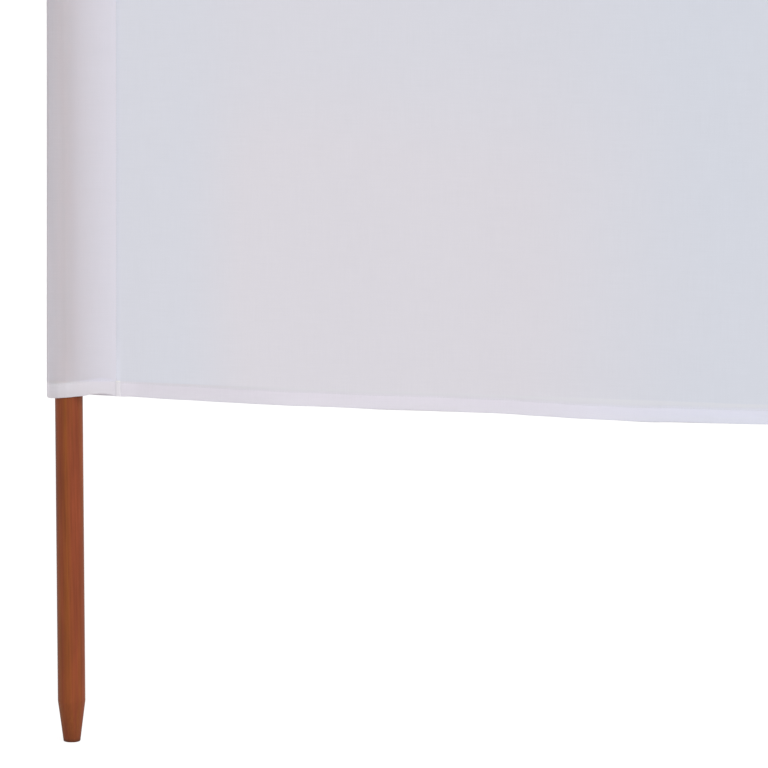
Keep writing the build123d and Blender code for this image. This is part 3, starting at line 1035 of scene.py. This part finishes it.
for b in range(BAYS):
    P, flat, share, zl, zh = panel_grid(b, PANEL_ROWS)
    width = bay_width(b, (LOW + HIGH) / 2) / 1000.0
    panel = grid_piece(f"panel_cloth_{b + 1}", P, flat, CLOTH)
    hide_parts(f"panel_{b + 1}")
    low, lflat = hem_grid(b, share, zl, 1)
    lower = grid_piece(f"lower_hem_{b + 1}", low, lflat, HEM_CLOTH, flip=True)
    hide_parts(f"bottom_hem_{b + 1}")
    high, hflat = hem_grid(b, share, zh, -1)
    upper = grid_piece(f"upper_hem_{b + 1}", high, hflat, HEM_CLOTH)
    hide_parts(f"top_hem_{b + 1}")
    # stitch lines of the two hems, seen from the front and from the back
    rows_low = len(CURL) + NEAR_EDGE.index(14.8)
    rows_high = P.shape[0] - 1 - rows_low
    front_n = np.tile([0.0, -1.0, 0.0], (P.shape[1], 1))
    j = [k for k, (back, d) in enumerate(TURNED) if d == 14.8 and back > 0.6][0]
    note_run(f"lower_hem_thread_{b + 1}", P[rows_low], front_n)
    note_run(f"lower_hem_thread_{b + 1}", low[j], -front_n)
    note_run(f"upper_hem_thread_{b + 1}", P[rows_high], front_n)
    note_run(f"upper_hem_thread_{b + 1}", high[j], -front_n)
    t1 = stitches(f"lower_hem_thread_{b + 1}", seed=11 + b)
    t2 = stitches(f"upper_hem_thread_{b + 1}", seed=21 + b)

for s in SLEEVES:
    name = f"sleeve_cloth_{s.i + 1}"
    if s.side:
        u0, y0, back = end_outline(s, np.array([LOW]))
        cols = u0.shape[1]
        u0 = u0[0]
        low_edge = LOW + END_FRONT_EDGE(u0) * (1 - back) + END_BACK_EDGE(u0) * back
        uh, _, _ = end_outline(s, np.array([HIGH]))
        uh = uh[0]
        seam_hi = BAY[0].high_edge(np.array([s.seam_x(HIGH, 1)]))[0] if s.side > 0 else BAY[-1].high_edge(np.array([s.seam_x(HIGH, -1)]))[0]
        seam_lo = BAY[0].low_edge(np.array([s.seam_x(LOW, 1)]))[0] if s.side > 0 else BAY[-1].low_edge(np.array([s.seam_x(LOW, -1)]))[0]
        low_edge = low_edge + (seam_lo - low_edge[0]) * np.exp(-np.maximum(u0[0] - u0, 0) / 12.0) * (1 - back)
        high_edge = HIGH + 0.0 * uh
        high_edge = high_edge + (seam_hi - HIGH) * np.exp(-np.maximum(uh[0] - uh, 0) / 14.0) * (1 - back) - 1.2 * back * step((uh + 5) / 60.0) + 1.4 * step(
            (8 - uh) / 40.0
        )
        P, normal, rows = sleeve_surface(s, lambda z: end_outline(s, z)[:2], (low_edge, high_edge), -1.0, s.side, SLEEVE_ROWS)
        flat = np.stack([lengths_along(P), P[..., 2]], -1)
        piece = grid_piece(name, P, flat, END_SLEEVE_CLOTH, flip=s.side > 0, strips=(SEAM_CLOTH, slice(-len(LAND), None)))
        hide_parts(f"sleeve_{s.i + 1}")
        sheets = [(P, normal, rows, piece)]
        first_row = len(TURNED) - 1 + len(CURL)
        st_low = first_row + NEAR_EDGE.index(14.8)
        st_high = P.shape[0] - 1 - st_low
        tname = f"sleeve_thread_{s.i + 1}"
        note_run(tname, P[st_low, : -len(LAND)], normal[st_low, : -len(LAND)])
        note_run(tname, P[st_high, : -len(LAND)], normal[st_high, : -len(LAND)])
        seam_rows = slice(first_row, P.shape[0] - first_row)
        front_seam = P[seam_rows, 0].copy()
        note_run(tname, front_seam, np.tile([0.0, -1.0, 0.0], (len(front_seam), 1)))
        k = P.shape[1] - len(LAND) - 1
        back_seam = P[seam_rows, k + 1].copy()
        back_seam[:, 0] = P[seam_rows, k, 0]
        back_seam[:, 1] = P[seam_rows, k, 1] + 0.62
        # behind, the seam runs over the turned edge, so its stitches lie on the outer of its two layers
        back_seam[:, 0] = P[seam_rows, -2, 0] + 0.0
        back_seam[:, 1] = P[seam_rows, -2, 1] + 0.0
        note_run(tname, back_seam, np.tile([0.0, 1.0, 0.0], (len(back_seam), 1)))
        th = stitches(tname, seed=31 + s.i)
    else:
        made = []
        for front in (True, False):
            u0, y0 = mid_outline(s, np.array([LOW]), front)
            uh, _ = mid_outline(s, np.array([HIGH]), front)
            u0, uh = u0[0], uh[0]
            dl = np.minimum(np.abs(u0 - u0[0]), np.abs(u0[-1] - u0))
            lift_l = BAY[s.i - 1].low_edge(np.array([s.seam_x(LOW, -1)]))[0] - LOW
            lift_r = BAY[s.i].low_edge(np.array([s.seam_x(LOW, 1)]))[0] - LOW
            drop_l = BAY[s.i - 1].high_edge(np.array([s.seam_x(HIGH, -1)]))[0] - HIGH
            drop_r = BAY[s.i].high_edge(np.array([s.seam_x(HIGH, 1)]))[0] - HIGH
            if front:
                low_edge = LOW + lift_l * np.exp(-(u0 - u0[0]) / 16.0) + lift_r * np.exp(-(u0[-1] - u0) / 16.0)
                high_edge = HIGH + drop_l * np.exp(-(uh - uh[0]) / 16.0) + drop_r * np.exp(-(uh[-1] - uh) / 16.0)
            else:
                low_edge = LOW - 0.4 + 0.6 * np.sin(u0 / 17.0 + s.i)
                high_edge = HIGH - 1.0 + 0.4 * np.sin(uh / 19.0 + s.i)
            P, normal, rows = sleeve_surface(s, lambda z, f=front: mid_outline(s, z, f), (low_edge, high_edge), 1.0 if front else -1.0, 0, SLEEVE_ROWS)
            flat = np.stack([lengths_along(P), P[..., 2]], -1)
            pname = f"sleeve_cloth_{s.i + 1}" if front else f"sleeve_back_{s.i + 1}"
            edges = None if front else (SEAM_CLOTH, np.r_[0 : len(LAND), P.shape[1] - 1 - len(LAND) : P.shape[1] - 1])
            piece = grid_piece(pname, P, flat, SLEEVE_CLOTH, flip=not front, strips=edges)
            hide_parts(f"sleeve_{s.i + 1}")
            made.append((P, normal, piece))
        tname = f"sleeve_thread_{s.i + 1}"
        first_row = len(TURNED) - 1 + len(CURL)
        (P, normal, piece), (Q, qn, backp) = made
        st_low = first_row + NEAR_EDGE.index(14.8)
        st_high = P.shape[0] - 1 - st_low
        for k in (st_low, st_high):
            note_run(tname, P[k], normal[k])
            note_run(tname, Q[k, len(LAND) : -len(LAND)], qn[k, len(LAND) : -len(LAND)])
        rows_ = slice(first_row, P.shape[0] - first_row)
        for col in (0, -1):
            note_run(tname, P[rows_, col], np.tile([0.0, -1.0, 0.0], (P[rows_].shape[0], 1)))
        for col in (1, -2):
            note_run(tname, Q[rows_, col], np.tile([0.0, 1.0, 0.0], (Q[rows_].shape[0], 1)))
        th = stitches(tname, seed=31 + s.i)

# ------------------------------------------------------------------ floor, light and camera

floor_mesh = bpy.data.meshes.new("floor")
W = 150.0
floor_mesh.from_pydata([(-W, -W, 0), (W, -W, 0), (W, W, 0), (-W, W, 0)], [], [(0, 1, 2, 3)])
floor = bpy.data.objects.new("floor", floor_mesh)
bpy.context.scene.collection.objects.link(floor)
f = Nodes("pale_floor")
glow = f.math("MULTIPLY_ADD", f.add("ShaderNodeLightPath").outputs["Is Camera Ray"], 0.42, 0.42)
ff = f.add("ShaderNodeBsdfPrincipled", {"Base Color": (0.3, 0.3, 0.3, 1), "Roughness": 0.9, "Specular IOR Level": 0.1, "Emission Color": (1, 1, 1, 1), "Emission Strength": glow})
f.put(f.out, "Surface", ff.outputs[0])
f.mat.cycles.emission_sampling = "NONE"
floor_mesh.materials.append(f.mat)
floor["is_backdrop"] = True

world = bpy.data.worlds.new("studio")
bpy.context.scene.world = world
world.use_nodes = True
wt = world.node_tree
wt.nodes.clear()
wout = wt.nodes.new("ShaderNodeOutputWorld")
coord = wt.nodes.new("ShaderNodeTexCoord")
wsep = wt.nodes.new("ShaderNodeSeparateXYZ")
wt.links.new(coord.outputs["Generated"], wsep.inputs[0])
front = wt.nodes.new("ShaderNodeMapRange")
front.interpolation_type = "SMOOTHSTEP"
front.inputs["From Min"].default_value = 0.75
front.inputs["From Max"].default_value = -0.35
front.inputs["To Min"].default_value = 0.34
front.inputs["To Max"].default_value = 0.73
wt.links.new(wsep.outputs[1], front.inputs["Value"])
# a bright wall behind on the right, which rims the poles
rim_dot = wt.nodes.new("ShaderNodeVectorMath")
rim_dot.operation = "DOT_PRODUCT"
wt.links.new(coord.outputs["Generated"], rim_dot.inputs[0])
rim_dot.inputs[1].default_value = Vector((0.90, 0.38, 0.22)).normalized()
rim = wt.nodes.new("ShaderNodeMapRange")
rim.interpolation_type = "SMOOTHSTEP"
rim.inputs["From Min"].default_value = 0.80
rim.inputs["From Max"].default_value = 0.97
rim.inputs["To Min"].default_value = 0.0
rim.inputs["To Max"].default_value = 0.6
wt.links.new(rim_dot.outputs["Value"], rim.inputs["Value"])
both = wt.nodes.new("ShaderNodeMath")
both.operation = "ADD"
wt.links.new(front.outputs[0], both.inputs[0])
wt.links.new(rim.outputs[0], both.inputs[1])
lit = wt.nodes.new("ShaderNodeBackground")
wt.links.new(both.outputs[0], lit.inputs["Strength"])
lit.inputs["Color"].default_value = (1.0, 0.995, 1.0, 1)
seen = wt.nodes.new("ShaderNodeBackground")
seen.inputs["Color"].default_value = (1, 1, 1, 1)
seen.inputs["Strength"].default_value = 1.0
path = wt.nodes.new("ShaderNodeLightPath")
wmix = wt.nodes.new("ShaderNodeMixShader")
wt.links.new(path.outputs["Is Camera Ray"], wmix.inputs[0])
wt.links.new(lit.outputs[0], wmix.inputs[1])
wt.links.new(seen.outputs[0], wmix.inputs[2])
wt.links.new(wmix.outputs[0], wout.inputs[0])

key_data = bpy.data.lights.new("key", "SUN")
key_data.energy = 1.3
key_data.angle = math.radians(40)
key = bpy.data.objects.new("key", key_data)
bpy.context.scene.collection.objects.link(key)
key_from = Vector((0.66, -0.52, 0.56)).normalized()
key.rotation_euler = key_from.to_track_quat("Z", "Y").to_euler()

scene = bpy.context.scene
scene.view_settings.view_transform = "Standard"
scene.view_settings.look = "None"
scene.cycles.diffuse_bounces = 10
scene.cycles.max_bounces = 16

cam_data = bpy.data.cameras.new("camera")
cam = bpy.data.objects.new("camera", cam_data)
scene.collection.objects.link(cam)
cam_data.sensor_width = 36.0
cam_data.lens = 4583.0 * 36.0 / 768.0
cam_data.clip_start, cam_data.clip_end = 0.05, 400.0
turn, tip_down = math.radians(15.28), math.radians(7.51)
foot = Vector((AXIS[0] / 1000.0, 0.0, 0.0))
cam.location = foot + Vector((1.6175, -4.6321, 1.037))
look = Vector((-math.sin(turn) * math.cos(tip_down), math.cos(turn) * math.cos(tip_down), -math.sin(tip_down)))
cam.rotation_mode = "QUATERNION"
cam.rotation_quaternion = look.to_track_quat("-Z", "Y")
scene.camera = cam

lo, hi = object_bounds()
